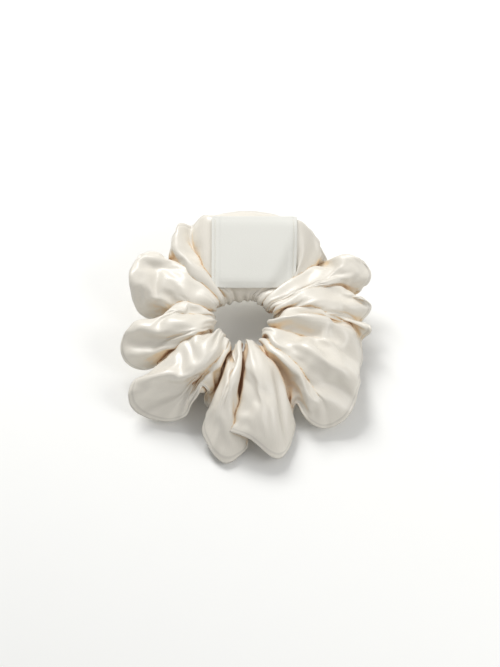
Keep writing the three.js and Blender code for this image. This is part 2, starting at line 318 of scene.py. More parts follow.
def gathered_places():
    """Where the cloth is laid before it settles: columns by rows by 3, in millimetres from the axis."""
    turns = even_turns([end for _, end in RIBS], COLUMNS)
    outer = round_ring([end for _, end in RIBS], turns)
    middle = round_ring([middle for middle, _ in RIBS], turns)
    bearing = np.unwrap(np.arctan2(middle[:, 1] - HOLE_CENTRE[1], middle[:, 0] - HOLE_CENTRE[0]))
    inner_bearing = smoothed(bearing, 8, 2 * math.pi)
    wave = smoothed(middle[:, 2], 3)
    from_back = np.abs(np.degrees(inner_bearing) % 360 - 90)
    at_label = smoothstep((55 - from_back) / 30)
    height = INNER_HEIGHT + INNER_WAVE * (wave - wave.mean())
    radius = HOLE_RADIUS - INNER_BULGE * (wave - wave.mean()) / 10 * (1 - at_label)
    inner = np.stack([
        HOLE_CENTRE[0] + radius * np.cos(inner_bearing),
        HOLE_CENTRE[1] + radius * np.sin(inner_bearing),
        height + (INNER_HEIGHT_AT_LABEL - height) * at_label,
    ], 1)
    share = row_shares()[None, :, None]
    layer = row_layers()[None, :, None]
    to_middle = (share - 1) * (share - MIDDLE_SHARE) / MIDDLE_SHARE
    at_middle = share * (1 - share) / (MIDDLE_SHARE * (1 - MIDDLE_SHARE))
    at_outer = share * (share - MIDDLE_SHARE) / (1 - MIDDLE_SHARE)
    places = inner[:, None] * to_middle + middle[:, None] * at_middle + outer[:, None] * at_outer
    outwards = np.roll(places, -1, 1) - np.roll(places, 1, 1)
    outwards = np.where(layer < 0, -outwards, outwards)
    outwards[:, 0] = (middle - inner)
    outwards[:, HALF_ROWS] = (outer - middle)
    ahead = np.roll(places, -1, 0) - np.roll(places, 1, 0)
    upwards = unit(np.cross(outwards, ahead))
    shoulder = np.sin(math.pi * np.minimum(share / SHOULDER_SHARE, 1)) ** 0.6
    thickness = PUFF * np.sin(math.pi * share) ** 0.7 + SHOULDER * shoulder
    places = places + upwards * layer * thickness / 2
    places[..., 2] = np.maximum(places[..., 2], FLOOR_CLEARANCE + 0.5 * (layer[..., 0] > 0))
    return round_the_elastic(places)


def round_the_elastic(places):
    """Lifts the upper layer over the elastic and lowers the lower layer under it."""
    layer = row_layers()[None, :]
    from_centre = np.hypot(places[..., 0] - HOLE_CENTRE[0], places[..., 1] - HOLE_CENTRE[1])
    past_edge = np.abs(from_centre - ELASTIC_RADIUS) - ELASTIC_WIDTH / 2 / MM - 1
    beside = 1 - smoothstep(past_edge / 7)
    clear = ELASTIC_HEIGHT + layer * (ELASTIC_ROOM + 0.7)
    short = np.maximum((clear - places[..., 2]) * layer, 0) * layer
    places[..., 2] += beside * short
    return places


def label_column(places):
    """The column of the sleeve that the label's middle lies on."""
    outer = places[:, HALF_ROWS]
    at_front = 1000 * (outer[:, 1] < 0)
    return int(np.argmin(np.abs(outer[:, 0] - (LABEL_MIDDLE - AXIS).x / MM) + at_front))


def under_label(places):
    """Lays the upper layer flat under the label. Gives the places and how firmly each is held there."""
    share, layer = row_shares(), row_layers()
    step = FLAT_LENGTH / COLUMNS
    offset = (np.arange(COLUMNS) - label_column(places) + COLUMNS // 2) % COLUMNS - COLUMNS // 2
    across = -offset * step * 0.9
    along = (share - 0.55) * FLAT_WIDTH * 0.95
    a, b = np.meshgrid(across, along, indexing="ij")
    seat = on_label(a, b, -SEAT_DEPTH)
    beside = smoothstep((LABEL_WIDTH / 2 + SEAT_PAST_SIDES - np.abs(a)) / SEAT_FADE)
    beyond = smoothstep((LABEL_LENGTH / 2 + SEAT_PAST_ENDS - np.abs(b)) / SEAT_FADE)
    inside = beside * beyond * (layer > 0)[None, :]
    return places + (seat - places) * inside[..., None], inside


def flat_places():
    """The settling cloth's own lengths: a doubled band whose spare length lies in even waves."""
    turn = 2 * math.pi * np.arange(COLUMNS)[:, None] / COLUMNS
    share, layer = row_shares()[None, :], row_layers()[None, :]
    radius = GATHERED_INNER / (2 * math.pi) + FLAT_WIDTH * share
    longer = (GATHERED_INNER + (FLAT_LENGTH - GATHERED_INNER) * share) / (2 * math.pi * radius)
    rise = 2 * radius / CUT_WAVES * np.sqrt(np.maximum(longer ** 2 - 1, 0) / 2) * 0.77
    height = rise * np.sin(CUT_WAVES * turn) + 0.3 * layer * np.sin(math.pi * share)
    return np.stack([radius * np.cos(turn), radius * np.sin(turn), height], -1)


def sleeve_faces():
    faces, uvs = [], []
    share = row_shares()
    girth = np.concatenate([share[:HALF_ROWS + 1], 2 - share[HALF_ROWS + 1:], [2.0]])
    girth = girth * FLAT_WIDTH / FLAT_LENGTH
    for column in range(COLUMNS):
        beyond = (column + 1) % COLUMNS
        left, right = column / COLUMNS, (column + 1) / COLUMNS
        for row in range(ROWS):
            above = (row + 1) % ROWS
            faces.append((
                column * ROWS + row, column * ROWS + above, beyond * ROWS + above, beyond * ROWS + row,
            ))
            low, high = girth[row], girth[row + 1]
            uvs += [(left, low), (left, high), (right, high), (right, low)]
    return faces, uvs


def settle(piece, flat, held):
    """Lets the laid cloth find its folds. held is how firmly each vertex keeps its place."""
    scale = CLOTH_SCALE * MM
    for vertex in piece.data.vertices:
        vertex.co = vertex.co * CLOTH_SCALE
    piece.shape_key_add(name="laid")
    cut = piece.shape_key_add(name="cut")
    cut.data.foreach_set("co", (flat.reshape(-1, 3) * scale).ravel())
    cut.value = 0.0
    group = piece.vertex_groups.new(name="held")
    for index, weight in enumerate(held.ravel()):
        if weight > 0:
            group.add([index], float(weight), "REPLACE")
    cloth = piece.modifiers.new("cloth", "CLOTH")
    settings = cloth.settings
    settings.quality = 6
    settings.mass = 0.2
    settings.tension_stiffness = 20
    settings.compression_stiffness = 20
    settings.shear_stiffness = SHEAR
    settings.bending_stiffness = BENDING
    settings.tension_damping = 5
    settings.compression_damping = 5
    settings.shear_damping = 5
    settings.bending_damping = 0.5
    settings.air_damping = 2
    settings.vertex_group_mass = "held"
    settings.pin_stiffness = 2
    settings.rest_shape_key = cut
    settings.use_pressure = True
    settings.uniform_pressure_force = PRESSURE
    settings.effector_weights.gravity = 0.0
    collision = cloth.collision_settings
    collision.use_self_collision = True
    collision.self_distance_min = 0.6 * scale
    collision.self_friction = 2
    collision.collision_quality = 2
    bpy.ops.mesh.primitive_plane_add(size=10)
    table = bpy.context.object
    bpy.ops.mesh.primitive_torus_add(
        major_segments=64,
        minor_segments=12,
        major_radius=ELASTIC_RADIUS * scale,
        minor_radius=(ELASTIC_WIDTH / 2 / MM + 0.8) * scale,
        location=(HOLE_CENTRE[0] * scale, HOLE_CENTRE[1] * scale, ELASTIC_HEIGHT * scale),
    )
    loop = bpy.context.object
    loop.scale.z = ELASTIC_ROOM / (ELASTIC_WIDTH / 2 / MM + 0.8)
    for solid in (table, loop):
        solid.modifiers.new("solid", "COLLISION")
        solid.collision.thickness_outer = 0.2 * scale
    collision.use_collision = True
    collision.distance_min = 0.3 * scale
    cloth.point_cache.frame_start = 1
    cloth.point_cache.frame_end = SETTLING_FRAMES
    for step in range(1, SETTLING_FRAMES + 1):
        bpy.context.scene.frame_set(step)
    settled = piece.evaluated_get(bpy.context.evaluated_depsgraph_get())
    places = np.empty(len(piece.data.vertices) * 3)
    settled.data.vertices.foreach_get("co", places)
    piece.modifiers.clear()
    piece.shape_key_clear()
    bpy.data.objects.remove(table)
    bpy.data.objects.remove(loop)
    bpy.context.scene.frame_set(1)
    return places.reshape(COLUMNS, ROWS, 3) / scale


def fold_depth(piece, reach=22 * MM):
    """Stores on each vertex the share, from 0 to 1, of what it faces that is more of the same cloth. The
    satin's painted shade in folds and hollows follows it.
    """
    mesh = piece.data
    tree = BVHTree.FromPolygons([v.co for v in mesh.vertices], [p.vertices[:] for p in mesh.polygons])
    rays = []
    for index in range(FOLD_RAYS):
        height = math.sqrt((index + 0.5) / FOLD_RAYS)
        turn = index * math.pi * (3 - math.sqrt(5))
        flat = math.sqrt(1 - height * height)
        rays.append(Vector((flat * math.cos(turn), flat * math.sin(turn), height)))
    depths = []
    for vertex in mesh.vertices:
        to_normal = vertex.normal.to_track_quat("Z", "Y")
        start = vertex.co + vertex.normal * 0.2 * MM
        hits = sum(1 for ray in rays if tree.ray_cast(start, to_normal @ ray, reach)[0] is not None)
        depths.append(hits / FOLD_RAYS)
    layer = mesh.attributes.new("fold_depth", "FLOAT", "POINT")
    layer.data.foreach_set("value", depths)


def draw_gathers(places):
    """Raises the narrow folds at the elastic, which fade out towards the outer fold."""
    share, layer = row_shares()[None, :], row_layers()[None, :]
    turn = 2 * math.pi * np.arange(COLUMNS)[:, None] / COLUMNS
    uneven = 2.2 * np.sin(7 * turn) + 1.1 * np.sin(17 * turn + 1)
    fold = 0.5 + 0.5 * np.sin(GATHERS * turn + uneven)
    underneath = smoothstep(0.5 - layer * share / 0.16)
    height = GATHER_TOP + (GATHER_UNDER - GATHER_TOP) * underneath
    outwards = np.roll(places, -1, 1) - np.roll(places, 1, 1)
    ahead = np.roll(places, -3, 0) - np.roll(places, 3, 0)
    normals = unit(np.cross(outwards, ahead))
    return places + normals * (height * fold * smoothstep((0.85 - share) / 0.5))[..., None]


def press_fold(piece):
    """Creases the outer fold, so that it stays sharp when the cloth is smoothed."""
    crease = piece.data.attributes.new("crease_edge", "FLOAT", "EDGE")
    for edge in piece.data.edges:
        if all(index % ROWS == HALF_ROWS for index in edge.vertices):
            crease.data[edge.index].value = FOLD_CREASE


def sew_long_seam(piece):
    """Draws the cloth in along the long seam, with small puckers across it."""
    mesh = piece.data
    layer = mesh.attributes["from_fold"]
    column = mesh.attributes["column"]
    normals = [vertex.normal.copy() for vertex in mesh.vertices]
    for vertex in mesh.vertices:
        from_seam = layer.data[vertex.index].value - SEAM_FROM_FOLD
        along = column.data[vertex.index].value
        groove = -SEAM_GROOVE * math.exp(-((from_seam / 0.7) ** 2))
        uneven = math.sin(along * 2.1 + 2 * math.sin(along * 0.37))
        pucker = SEAM_PUCKER * math.exp(-((from_seam / 1.6) ** 2)) * uneven
        vertex.co += normals[vertex.index] * (groove + pucker) * MM


def mark_rows(piece):
    from_fold = piece.data.attributes.new("from_fold", "FLOAT", "POINT")
    from_fold.data.foreach_set("value", np.tile((1 - row_shares()) * FLAT_WIDTH, COLUMNS).astype(np.float32))
    column = piece.data.attributes.new("column", "FLOAT", "POINT")
    column.data.foreach_set("value", np.repeat(np.arange(COLUMNS), ROWS).astype(np.float32))


def make_sleeve():
    places, on_seat = under_label(gathered_places())
    faces, uvs = sleeve_faces()
    piece = new_piece("satin_sleeve", places.reshape(-1, 3) * MM, faces, uvs)
    held = LABEL_HOLD * on_seat
    held[:, 0] = np.maximum(held[:, 0], INNER_HOLD)
    held[:, HALF_ROWS] = np.maximum(held[:, HALF_ROWS], OUTER_HOLD)
    places = settle(piece, flat_places(), held)
    places = draw_gathers(places)
    places[..., 2] -= places[..., 2].min() * np.clip(1 - places[..., 2] / LABEL_FOOT_HEIGHT, 0, 1)
    in_frame = places * MM + np.array(AXIS)
    piece.data.vertices.foreach_set("co", in_frame.ravel())
    piece.data.update()
    press_fold(piece)
    mark_rows(piece)
    smooth = piece.modifiers.new("smooth", "SUBSURF")
    smooth.levels = smooth.render_levels = 1
    apply_modifiers(piece)
    sew_long_seam(piece)
    fold_depth(piece)
    wall = piece.modifiers.new("wall", "SOLIDIFY")
    wall.thickness = CLOTH_THICKNESS * MM
    wall.offset = -1
    apply_modifiers(piece)
    piece.data.shade_smooth()
    return piece, places


sleeve, sleeve_places = make_sleeve()


# ---- threads and the elastic ----
def sides_along(points, closed):
    """Sideways and upward unit vectors at each point of a line, turning as little as they can."""
    if closed:
        ahead = unit(np.roll(points, -1, 0) - np.roll(points, 1, 0))
    else:
        ahead = unit(np.gradient(points, axis=0))
    side = np.zeros_like(points)
    across = np.cross(ahead[0], (0.0, 0.6, 0.8))
    for index, direction in enumerate(ahead):
        across = unit(across - direction * np.dot(across, direction))
        side[index] = across
    return side, np.cross(side, ahead)


def finer(points, steps, closed):
    """The same smooth line with steps places for each point."""
    if closed:
        return round_ring(points, np.linspace(0, len(points), steps * len(points), endpoint=False))
    padded = np.vstack([2 * points[0] - points[1], points, 2 * points[-1] - points[-2]])
    turns = np.linspace(1, len(points), steps * (len(points) - 1) + 1)
    return round_ring(padded, np.minimum(turns, len(points) - 1e-6))


def thread(name, points, steps, closed=False):
    """A sewing thread of two twisted plies along points in metres, with steps places for each point."""
    points = finer(points, steps, closed)
    side, upwards = sides_along(points, closed)
    travelled = np.concatenate([[0], np.cumsum(np.linalg.norm(points[1:] - points[:-1], axis=1))])
    twist = 2 * math.pi * round(travelled[-1] / (THREAD_PITCH * MM)) * travelled / travelled[-1]
    curve = bpy.data.curves.new(name, "CURVE")
    curve.dimensions = "3D"
    curve.bevel_depth = THREAD_RADIUS * PLY_SHARE * MM
    curve.bevel_resolution = 1
    curve.use_fill_caps = True
    for ply in (0, math.pi):
        swing = np.cos(twist + ply)[:, None] * side + np.sin(twist + ply)[:, None] * upwards
        route = points + swing * THREAD_RADIUS * (1 - PLY_SHARE) * MM
        spline = curve.splines.new("POLY")
        spline.points.add(len(route) - 1)
        spline.points.foreach_set("co", np.column_stack([route, np.ones(len(route))]).ravel())
        spline.use_cyclic_u = closed
    piece = bpy.data.objects.new(name, curve)
    bpy.context.scene.collection.objects.link(piece)
    only(piece)
    bpy.ops.object.convert(target="MESH")
    piece = bpy.context.object
    piece.data.shade_smooth()
    return piece


def between_layers(row, reach):
    """A smoothed line half way between the sleeve's two layers, in metres. row counts from the inner fold."""
    middle = (sleeve_places[:, row] + sleeve_places[:, -row]) / 2 * MM + np.array(AXIS)
    return np.stack([smoothed(middle[:, k], reach) for k in range(3)], 1)


def grid_faces(columns, rows):
    """Faces of a grid of places, columns by rows of them."""
    corners = [column * rows + row for column in range(columns - 1) for row in range(rows - 1)]
    return [(corner, corner + rows, corner + rows + 1, corner + 1) for corner in corners]


def make_elastic():
    """The flat braided elastic: a loop inside the sleeve's inner fold, whose ends lap at the back."""
    order = np.arange(ELASTIC_PLACES + ELASTIC_LAP + 1)
    bearing = 2 * math.pi * (order - ELASTIC_LAP / 2) / ELASTIC_PLACES + math.pi / 2
    lean = np.radians(7) * np.sin(3 * bearing + 1)
    outwards = np.stack([np.cos(bearing), np.sin(bearing), np.zeros(len(order))], 1)
    upwards = np.stack([-np.sin(lean) * np.cos(bearing), -np.sin(lean) * np.sin(bearing), np.cos(lean)], 1)
    outwards = outwards * np.cos(lean)[:, None] + np.array([0, 0, 1]) * np.sin(lean)[:, None]
    lapped = smoothstep((order - ELASTIC_PLACES + 6) / 6)
    rise = ELASTIC_HEIGHT + 0.5 * np.sin(2 * bearing) + lapped * (ELASTIC_THICKNESS + 0.3)
    line = np.stack([
        HOLE_CENTRE[0] + ELASTIC_RADIUS * np.cos(bearing),
        HOLE_CENTRE[1] + ELASTIC_RADIUS * np.sin(bearing),
        rise,
    ], 1) * MM + np.array(AXIS)
    count = ELASTIC_CORDS * 4 + 1
    across = np.linspace(ELASTIC_WIDTH / 2, -ELASTIC_WIDTH / 2, count)
    cords = 0.12 * MM * np.abs(np.sin(np.linspace(0, ELASTIC_CORDS * math.pi, count)))
    places = (
        line[:, None]
        + outwards[:, None] * across[None, :, None]
        + upwards[:, None] * (cords + ELASTIC_THICKNESS / 2 * MM)[None, :, None]
    )
    band = new_piece("elastic_loop", places.reshape(-1, 3), grid_faces(len(order), count))
    wall = band.modifiers.new("wall", "SOLIDIFY")
    wall.thickness = ELASTIC_THICKNESS * MM
    wall.offset = -1
    edge = band.modifiers.new("edge", "BEVEL")
    edge.width = 0.25 * MM
    edge.segments = 2
    edge.limit_method = "ANGLE"
    edge.angle_limit = math.radians(60)
    apply_modifiers(band)
    band.data.shade_smooth()
    over_lap = slice(ELASTIC_PLACES + 2, ELASTIC_PLACES + ELASTIC_LAP - 1)
    zigzag = np.where(np.arange(ELASTIC_LAP - 3) % 4 < 2, 1.0, -1.0)[:, None]
    rise = (ELASTIC_THICKNESS / 2 + 0.1 + THREAD_RADIUS) * MM
    stitches = line[over_lap] + upwards[over_lap] * rise + outwards[over_lap] * zigzag * ELASTIC_WIDTH * 0.34
    return band, thread("elastic_zigzag", stitches[::2], 8)


def make_closing_seam():
    """Slip stitches up the underside, where one end of the tube is tucked into the other."""
    column = label_column(sleeve_places)
    rows = np.arange(HALF_ROWS + 2, ROWS)
    line = finer(sleeve_places[column, rows], 6, False)
    half_way = rows[len(rows) // 2]
    along_ring = sleeve_places[column + 1, half_way] - sleeve_places[column - 1, half_way]
    downwards = unit(np.cross(along_ring, np.gradient(line, axis=0)))
    downwards *= -np.sign(downwards[:, 2:])
    over = (np.arange(len(line)) % 6 < 4)[:, None]
    line = line + downwards * np.where(over, THREAD_RADIUS, -0.5 * THREAD_RADIUS)
    return thread("closing_seam", line * MM + np.array(AXIS), 2)


elastic, elastic_zigzag = make_elastic()
SEAM_LINE = 0.7 * between_layers(HALF_ROWS - 1, 1) + 0.3 * between_layers(HALF_ROWS - 2, 1)
long_seam = thread("long_seam", SEAM_LINE, 5, closed=True)
closing_seam = make_closing_seam()


# ---- the label ----
def rounded(across, along):
    """Draws the corners of the label's grid in to small arcs."""
    flat_across, flat_along = LABEL_WIDTH / 2 - LABEL_CORNER, LABEL_LENGTH / 2 - LABEL_CORNER
    past_across = np.maximum(np.abs(across) - flat_across, 0)
    past_along = np.maximum(np.abs(along) - flat_along, 0)
    keep = np.maximum(past_across, past_along) / np.maximum(np.hypot(past_across, past_along), 1e-9)
    across = np.sign(across) * (np.minimum(np.abs(across), flat_across) + past_across * keep)
    along = np.sign(along) * (np.minimum(np.abs(along), flat_along) + past_along * keep)
    return across, along


def feel_seat():
    """How far below the label's own surface the sleeve lies, over a grid on the label, in millimetres."""
    tree = BVHTree.FromObject(sleeve, bpy.context.evaluated_depsgraph_get())
    across, along = np.meshgrid(
        np.linspace(-LABEL_WIDTH / 2, LABEL_WIDTH / 2, SEAT_PLACES),
        np.linspace(-LABEL_LENGTH / 2, LABEL_LENGTH / 2, SEAT_PLACES),
        indexing="ij",
    )
    start = on_label(across, along, SEAT_REACH) * MM + np.array(AXIS)
    downwards = unit(on_label(across, along, 0.0) - on_label(across, along, 1.0))
    gaps = np.full(across.shape, LABEL_DROOP)
    for place in np.ndindex(gaps.shape):
        hit, _, _, distance = tree.ray_cast(Vector(start[place]), Vector(downwards[place]))
        if hit is not None:
            gaps[place] = distance / MM - SEAT_REACH
    gaps = np.clip(gaps, -0.5, LABEL_DROOP)
    for _ in range(3):
        wide = np.pad(gaps, 1, mode="edge")
        gaps = (wide[:-2, 1:-1] + wide[2:, 1:-1] + wide[1:-1, :-2] + wide[1:-1, 2:] + 2 * gaps) / 6
    return gaps


SEAT_GAPS = feel_seat()


def seat_below(across, along):
    """The gap under any place on the label, from that grid."""
    column = (across / LABEL_WIDTH + 0.5) * (SEAT_PLACES - 1)
    row = (along / LABEL_LENGTH + 0.5) * (SEAT_PLACES - 1)
    left = np.clip(np.floor(column).astype(int), 0, SEAT_PLACES - 2)
    low = np.clip(np.floor(row).astype(int), 0, SEAT_PLACES - 2)
    right_share, high_share = column - left, row - low
    return (
        SEAT_GAPS[left, low] * (1 - right_share) * (1 - high_share)
        + SEAT_GAPS[left + 1, low] * right_share * (1 - high_share)
        + SEAT_GAPS[left, low + 1] * (1 - right_share) * high_share
        + SEAT_GAPS[left + 1, low + 1] * right_share * high_share
    )


def label_rise(across, along):
    """How far the label's underside stands off its plain surface, for hems, stitches and the sleeve below."""
    from_edge = LABEL_WIDTH / 2 - np.abs(across)
    hem = 0.3 * smoothstep((LABEL_HEM - from_edge) / 0.8 + 1)
    stitch = (LABEL_LENGTH - 2 * LABEL_EDGE_TO_STITCH) / LABEL_STITCHES
    holes = np.cos(2 * math.pi * along / stitch) * 0.5 + 0.5
    drawn_in = 0.4 * np.exp(-((from_edge - LABEL_EDGE_TO_STITCH) / 0.6) ** 2) * (0.5 + 0.5 * holes)
    slack = 0.1 * np.sin(along * 0.16 + 0.8) * np.cos(across * 0.11 - 0.4)
    return LABEL_CLEARANCE + hem - drawn_in + slack - seat_below(across, along)


def make_label():
    across, along = np.meshgrid(
        np.linspace(-LABEL_WIDTH / 2, LABEL_WIDTH / 2, LABEL_COLUMNS + 1),
        np.linspace(-LABEL_LENGTH / 2, LABEL_LENGTH / 2, LABEL_ROWS + 1),
        indexing="ij",
    )
    across, along = rounded(across, along)
    places = on_label(across, along, label_rise(across, along)) * MM + np.array(AXIS)
    faces = grid_faces(LABEL_COLUMNS + 1, LABEL_ROWS + 1)
    flat = np.stack([across, along], -1).reshape(-1, 2) / 1000
    uvs = [flat[corner] for face in faces for corner in face]
    piece = new_piece("label_panel_cloth", places.reshape(-1, 3), faces, uvs)
    wall = piece.modifiers.new("wall", "SOLIDIFY")
    wall.thickness = LABEL_THICKNESS * MM
    wall.offset = 1
    edge = piece.modifiers.new("edge", "BEVEL")
    edge.width = 0.16 * MM
    edge.segments = 2
    edge.limit_method = "ANGLE"
    edge.angle_limit = math.radians(50)
    apply_modifiers(piece)
    piece.data.shade_smooth()
    return piece


def label_stitching(name, side):
    """One row of stitches, each rising in its middle and dipping at its two needle holes."""
    run = LABEL_LENGTH - 2 * LABEL_EDGE_TO_STITCH
    along = np.linspace(-run / 2, run / 2, LABEL_STITCHES * 8 + 1)
    across = np.full_like(along, side * (LABEL_WIDTH / 2 - LABEL_EDGE_TO_STITCH))
    in_stitch = np.abs(np.sin(math.pi * LABEL_STITCHES * (along / run + 0.5))) ** 0.5
    dip = LABEL_THICKNESS / 2
    above = label_rise(across, along) + LABEL_THICKNESS - dip + (dip + THREAD_RADIUS) * in_stitch
    return thread(name, on_label(across, along, above) * MM + np.array(AXIS), 2)


label = make_label()
label_stitches = [label_stitching("label_stitching_left", -1), label_stitching("label_stitching_right", 1)]


# ---- materials ----
class Nodes:
    """Adds nodes to a tree and links them. An input is a value, or another node's output."""

    def __init__(self, tree):
        self.tree = tree

    def add(self, kind, inputs=None, **settings):
        node = self.tree.nodes.new(kind)
        for name, value in settings.items():
            setattr(node, name, value)
        for name, value in (inputs or {}).items():
            self.put(value, node.inputs[name])
        return node

    def put(self, value, socket):
        if isinstance(value, bpy.types.NodeSocket):
            self.tree.links.new(value, socket)
        elif socket.type == "RGBA":
            socket.default_value = (*value, 1.0)
        else:
            socket.default_value = value

    def math(self, operation, first, second=0.0, clamp=False):
        node = self.add("ShaderNodeMath", {0: first, 1: second}, operation=operation, use_clamp=clamp)
        return node.outputs[0]

    def between(self, value, low, high):
        """0 below low, 1 above high."""
        inputs = {"Value": value, "From Min": low, "From Max": high}
        node = self.add("ShaderNodeMapRange", inputs, interpolation_type="SMOOTHSTEP")
        return node.outputs["Result"]

    def mix_colour(self, share, first, second):
        node = self.add("ShaderNodeMix", data_type="RGBA")
        for index, value in ((0, share), (6, first), (7, second)):
            self.put(value, node.inputs[index])
        return node.outputs[2]


def new_group(name, inputs, outputs):
    """A shader node group. inputs and outputs are lists of (name, socket type, default)."""
    group = bpy.data.node_groups.new(name, "ShaderNodeTree")
    for direction, sockets in (("INPUT", inputs), ("OUTPUT", outputs)):
        for socket_name, kind, default in sockets:
            socket = group.interface.new_socket(socket_name, in_out=direction, socket_type=kind)
            if default is not None:
                socket.default_value = default
    nodes = Nodes(group)
    return group, nodes, nodes.add("NodeGroupInput").outputs, nodes.add("NodeGroupOutput").inputs


def weave_group():
    """Fine threads crossing each other. Puts out a height, and a mask of the threads that lie on top."""
    group, nodes, given, out = new_group(
        "weave",
        [
            ("Vector", "NodeSocketVector", None),
            ("Along", "NodeSocketFloat", 1.0),
            ("Across", "NodeSocketFloat", 1.0),
            ("Lean", "NodeSocketFloat", 0.0),
        ],
        [("Height", "NodeSocketFloat", None), ("On top", "NodeSocketFloat", None)],
    )
    parts = nodes.add("ShaderNodeSeparateXYZ", {0: given["Vector"]}).outputs
    along = nodes.math("MULTIPLY", parts["X"], given["Along"])
    across = nodes.math("MULTIPLY", parts["Y"], given["Across"])
    leaning = nodes.math("ADD", along, nodes.math("MULTIPLY", across, given["Lean"]))
    warp = nodes.math("ABSOLUTE", nodes.math("SINE", nodes.math("MULTIPLY", leaning, math.pi)))
    weft = nodes.math("ABSOLUTE", nodes.math("SINE", nodes.math("MULTIPLY", across, math.pi)))
    height = nodes.math("ADD", nodes.math("MULTIPLY", warp, 0.65), nodes.math("MULTIPLY", weft, 0.35))
    nodes.tree.links.new(height, out["Height"])
    nodes.tree.links.new(nodes.between(warp, 0.35, 0.8), out["On top"])
    return group


def painted_fold_shade_group():
    """The cloth's own colour where it lies open, with painted shade where it is shut in: warm tan in a fold,
    brown in a hollow.
    """
    group, nodes, given, out = new_group(
        "painted_fold_shade",
        [
            ("Open", "NodeSocketColor", (1.0, 1.0, 1.0, 1.0)),
            ("Fold shade", "NodeSocketColor", (1.0, 0.8, 0.6, 1.0)),
            ("Hollow shade", "NodeSocketColor", (0.5, 0.3, 0.2, 1.0)),
            ("Fold starts", "NodeSocketFloat", 0.4),
            ("Hollow starts", "NodeSocketFloat", 0.7),
        ],
        [("Color", "NodeSocketColor", None)],
    )
    depth = nodes.add("ShaderNodeAttribute", attribute_name="fold_depth").outputs["Fac"]
    full_fold = nodes.math("ADD", given["Fold starts"], 0.3)
    full_hollow = nodes.math("ADD", given["Hollow starts"], 0.25)
    in_fold = nodes.between(depth, given["Fold starts"], full_fold)
    fold_shaded = nodes.mix_colour(in_fold, given["Open"], given["Fold shade"])
    in_hollow = nodes.between(depth, given["Hollow starts"], full_hollow)
    hollow_shaded = nodes.mix_colour(in_hollow, fold_shaded, given["Hollow shade"])
    nodes.tree.links.new(hollow_shaded, out["Color"])
    return group


def fibres_group():
    """Fine uneven fibres for light and dark flecks in a cloth or thread."""
    group, nodes, given, out = new_group(
        "fibres",
        [
            ("Vector", "NodeSocketVector", None),
            ("Scale", "NodeSocketFloat", 1.0),
            ("Depth", "NodeSocketFloat", 0.1),
        ],
        [("Shade", "NodeSocketFloat", None), ("Height", "NodeSocketFloat", None)],
    )
    noise = nodes.add(
        "ShaderNodeTexNoise",
        {"Vector": given["Vector"], "Scale": given["Scale"], "Detail": 3.0, "Roughness": 0.6},
    ).outputs["Fac"]
    swing = nodes.math("MULTIPLY", nodes.math("SUBTRACT", noise, 0.5), given["Depth"])
    nodes.tree.links.new(nodes.math("ADD", swing, 1.0), out["Shade"])
    nodes.tree.links.new(noise, out["Height"])
    return group


WEAVE = weave_group()
PAINTED_FOLD_SHADE = painted_fold_shade_group()
FIBRES = fibres_group()


def new_material(name, **constants):
    """A material with its Principled BSDF, whose plain numbers are set on its own sockets."""
    material = bpy.data.materials.new(name)
    material.use_nodes = True
    shader = material.node_tree.nodes["Principled BSDF"]
    for socket, value in constants.items():
        shader.inputs[socket.replace("_", " ")].default_value = value
    return material, Nodes(material.node_tree), shader.inputs


def shaded(nodes, colour, *shades):
    """A colour darkened or lightened by factors near 1."""
    for shade in shades:
        colour = nodes.add("ShaderNodeVectorMath", {0: colour, "Scale": shade}, operation="SCALE").outputs[0]
    return colour


def bumped(nodes, shader, height, strength, distance, normal=None):
    inputs = {"Height": height, "Strength": strength, "Distance": distance}
    if normal is not None:
        inputs["Normal"] = normal
    bump = nodes.add("ShaderNodeBump", inputs).outputs["Normal"]
    nodes.tree.links.new(bump, shader["Normal"])
    return bump


def fibres_in(nodes, vector, scale, depth):
    """The fibres group placed in a material. Gives its outputs."""
    inputs = {"Vector": vector, "Scale": scale, "Depth": depth}
    return nodes.add("ShaderNodeGroup", inputs, node_tree=FIBRES).outputs


